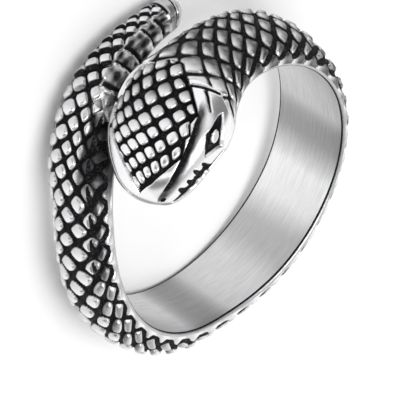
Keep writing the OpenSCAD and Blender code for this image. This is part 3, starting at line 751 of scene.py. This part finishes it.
def finish_material(make, **sockets):
    """Joins the shader to the material: Base_Color stands for the socket Base Color."""
    values = {key.replace("_", " "): value for key, value in sockets.items()}
    shader = make.add("ShaderNodeBsdfPrincipled", None, {"Specular IOR Level": 0.15, **values})
    make.add("ShaderNodeOutputMaterial", None, {"Surface": shader})


def noise(place, scale, detail, roughness=0.5):
    """Soft random share at a place of the surface."""
    return place.add("ShaderNodeTexNoise", None, {
        "Vector": place, "Scale": scale, "Detail": detail, "Roughness": roughness})


def tone(share, low, high):
    """Grey that goes from low to high with a share."""
    return share.add("ShaderNodeMix", {"data_type": "RGBA"},
                     {0: share, 6: (*low, 1), 7: (*high, 1)}, output=2)


def kept_value(make, name, output):
    """What the mesh keeps under a name: output 1 for a vector and 2 for a number."""
    return make.add("ShaderNodeAttribute", {"attribute_name": name}, output=output)


# Black of oxide, used also for painted shade and painted dark reflections
OXIDE_AND_SHADE_DEEP, OXIDE_AND_SHADE_WORN = (0.003, 0.003, 0.004), (0.06, 0.06, 0.062)
# Steel of the tops, and the grey of the painted shade on them
STEEL, STEEL_SHADED = (0.86, 0.86, 0.87), (0.08, 0.08, 0.083)
# Grains and clouds of wear, by how many there are in a metre, and where on a scale the oxide of
# the grooves begins
GRAIN, CLOUD, GROOVE_FROM = 9000.0, 1500.0, (0.96, 1.1)
polished, make = new_material("polished_steel")
place = make.add("ShaderNodeTexCoord", output=3)
grain, cloud = noise(place, GRAIN, 3.0), noise(place, CLOUD, 3.0)
painted_shade = kept_value(make, "painted_shade", 2)
in_groove = (kept_value(make, "groove_way", 2) + (grain - 0.5) * 0.1).step(*GROOVE_FROM)
black = (kept_value(make, "oxide_shade_reflection", 2) + (grain - 0.5) * 0.35).step(0.3, 0.8).most(in_groove)
oxide_and_shade_black = tone((grain * 0.65 + cloud * 0.35).step(0.5, 0.72), OXIDE_AND_SHADE_DEEP, OXIDE_AND_SHADE_WORN)
tops = tone(painted_shade * (cloud * 0.8 + 0.6), STEEL, STEEL_SHADED)
colour = make.add("ShaderNodeMix", {"data_type": "RGBA"}, {0: black, 6: tops, 7: oxide_and_shade_black},
                  output=2)
bump = make.add("ShaderNodeBump", None, {
    "Height": grain * (0.25 + black) + cloud * 0.4, "Strength": 0.25, "Distance": 0.04 * MM})
finish_material(make, Base_Color=colour, Metallic=1.0 - black * 0.85, Normal=bump,
                Roughness=0.17 + cloud * 0.08 + painted_shade * 0.15 + black * 0.5)


def flat_direction(direction):
    """Direction on the level, one long."""
    level = direction.add("ShaderNodeVectorMath", {"operation": "MULTIPLY"},
                          {0: direction, 1: (1, 1, 0)})
    return level.add("ShaderNodeVectorMath", {"operation": "NORMALIZE"}, {0: level})


def sector(level, azimuth, width, soft):
    """1 inside a sector round the vertical: its middle, half width and soft edge in degrees."""
    t = math.radians(azimuth)
    dot = level.add("ShaderNodeVectorMath", {"operation": "DOT_PRODUCT"},
                    {0: level, 1: (math.cos(t), math.sin(t), 0)}, output=1)
    return dot.step(math.cos(math.radians(width + soft)),
                    math.cos(math.radians(max(0.0, width - soft))))


# Painted reflection bands round the bore, where the satin is made darker or brighter: middle,
# half width and soft edge in degrees, and change of tone
SATIN_TONE = 0.66
REFLECTION_BANDS = [(-12, 9, 7, -0.26), (-32, 12, 9, 0.26), (-55, 8, 8, -0.12), (-75, 8, 8, 0.08),
           (-101, 7, 6, -0.3), (-118, 8, 8, 0.1), (30, 20, 15, 0.06)]
RUBBED_LENGTHS = (0.5, 0.5, 30.0)
satin_steel, make = new_material("satin_steel")
place = kept_value(make, "bore_place", 1)
lines = noise(make.add("ShaderNodeVectorMath", {"operation": "MULTIPLY"},
                       {0: place, 1: RUBBED_LENGTHS}), 1.0, 4.0, 0.7)
satin_with_bands, round_bore = SATIN_TONE, flat_direction(place)
# Painted reflection bands
for azimuth, width, soft, change in REFLECTION_BANDS:
    satin_with_bands = satin_with_bands + change * sector(round_bore, azimuth, width, soft)
satin_with_bands = satin_with_bands * (0.8 + 0.4 * lines.step(0.25, 0.75))
colour = make.add("ShaderNodeCombineColor", None, {0: satin_with_bands, 1: satin_with_bands, 2: satin_with_bands * 1.01})
bump = make.add("ShaderNodeBump", None, {"Height": lines, "Strength": 0.5, "Distance": 0.02 * MM})
finish_material(make, Base_Color=colour, Metallic=1.0, Normal=bump, Anisotropic=0.85,
                Anisotropic_Rotation=0.25, Roughness=0.34 + lines * 0.08)

snake = bpy.data.objects.new("snake_casting", mesh)
bpy.context.scene.collection.objects.link(snake)
scales = snake.modifiers.new("cast_scales", "NODES")
scales.node_group = tree
settings = {**INPUTS, "Polished": polished, "Satin": satin_steel}
for item in tree.interface.items_tree:
    if item.in_out == "INPUT" and item.name in settings:
        scales[item.identifier] = settings[item.name]
settled = bpy.data.meshes.new_from_object(
    snake.evaluated_get(bpy.context.evaluated_depsgraph_get()))
settled.name = "snake_casting"
snake.modifiers.clear()
snake.data = settled
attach(snake, "root")
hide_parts("snake_ring")


# The table that the ring lies on is a plain matt white board, wider than any view of it. The
# ring just lies on it.

HALF_BOARD = 0.9
BOARD_DARK, BOARD_LIGHT = (0.90, 0.90, 0.90), (0.93, 0.93, 0.93)
corners = [(x * HALF_BOARD, y * HALF_BOARD, 0) for x, y in ((-1, -1), (1, -1), (1, 1), (-1, 1))]
board = bpy.data.meshes.new("board")
board.from_pydata(corners, [], [(0, 1, 2, 3)])
floor = bpy.data.objects.new("board", board)
bpy.context.scene.collection.objects.link(floor)
white, make = new_material("matt_white")
paper = noise(make.add("ShaderNodeTexCoord", output=3), 60.0, 2.0)
finish_material(make, Base_Color=tone(paper, BOARD_DARK, BOARD_LIGHT), Roughness=0.9)
board.materials.append(white)


# The camera looks at the ring from above the head's side, through a very long lens, so that the
# view has almost no perspective.

# The picture's right, down and away, as directions on the ring before it comes to rest
RIGHT = RESTING @ Vector((0.71822, 0, 0.69581))
DOWN = RESTING @ Vector((-0.45199, -0.76029, 0.46655))
AWAY = RESTING @ Vector((0.52902, -0.64959, -0.54606))
# Scale and size of the picture, and where the ring's own origin lies in it
PIXELS_PER_MM, FRAME_SIZE = 15.225, 400
ORIGIN_X, ORIGIN_Y = 173.005, 158.495
aim = (RIGHT * ((FRAME_SIZE / 2 - ORIGIN_X) / PIXELS_PER_MM)
       + DOWN * ((FRAME_SIZE / 2 - ORIGIN_Y) / PIXELS_PER_MM))
aim = (aim - Vector(CENTRE)) * MM
lens = bpy.data.cameras.new("camera")
lens.sensor_width, lens.lens = 36.0, 1400.0
lens.clip_start, lens.clip_end = 0.1, 10.0
distance = FRAME_SIZE / PIXELS_PER_MM * MM * lens.lens / lens.sensor_width
camera = bpy.data.objects.new("camera", lens)
bpy.context.scene.collection.objects.link(camera)
camera.matrix_world = (Matrix.Translation(aim - AWAY * distance)
                       @ Matrix((RIGHT, -DOWN, -AWAY)).transposed().to_4x4())
bpy.context.scene.camera = camera


# The studio: white cards with dark gaps between them stand round the table, a pale ceiling lies
# over it, and one large soft lamp near the camera casts the faint shadow.

# Cards: middle, half width and soft edge in degrees, and brightness
CARDS = [(80, 45, 12, 1.1), (307, 14, 8, 1.2), (230, 36, 9, 0.9), (10, 12, 8, 0.9)]
GAP_LIGHT, CEILING_LIGHT, CEILING_EDGE = 0.3, 0.9, (0.55, 0.85)
bpy.context.scene.view_settings.view_transform = "Standard"
world = bpy.data.worlds.new("studio")
bpy.context.scene.world = world
world.use_nodes = True
world.node_tree.nodes.clear()
make = Term(world.node_tree)
direction = make.add("ShaderNodeTexCoord")
upward = make.add("ShaderNodeSeparateXYZ", None, {0: direction}, output=2)
cards, level = GAP_LIGHT, flat_direction(direction)
for azimuth, width, soft, brightness in CARDS:
    cards = cards + brightness * sector(level, azimuth, width, soft)
light = upward.step(*CEILING_EDGE).mix(cards, CEILING_LIGHT)
sky = make.add("ShaderNodeBackground", None, {"Strength": light})
make.add("ShaderNodeOutputWorld", None, {"Surface": sky})

LAMP_SIZE, LAMP_REACH, LAMP_POWER = 0.7, 0.9, 5.0
lamp = bpy.data.lights.new("key", "AREA")
lamp.shape, lamp.size, lamp.energy = "SQUARE", LAMP_SIZE, LAMP_POWER
lamp_way = (RIGHT * 0.5 + DOWN * 0.36 - AWAY * 0.79).normalized()
key = bpy.data.objects.new("key", lamp)
key.matrix_world = (Matrix.Translation(lamp_way * LAMP_REACH)
                    @ lamp_way.to_track_quat("Z", "Y").to_matrix().to_4x4())
bpy.context.scene.collection.objects.link(key)
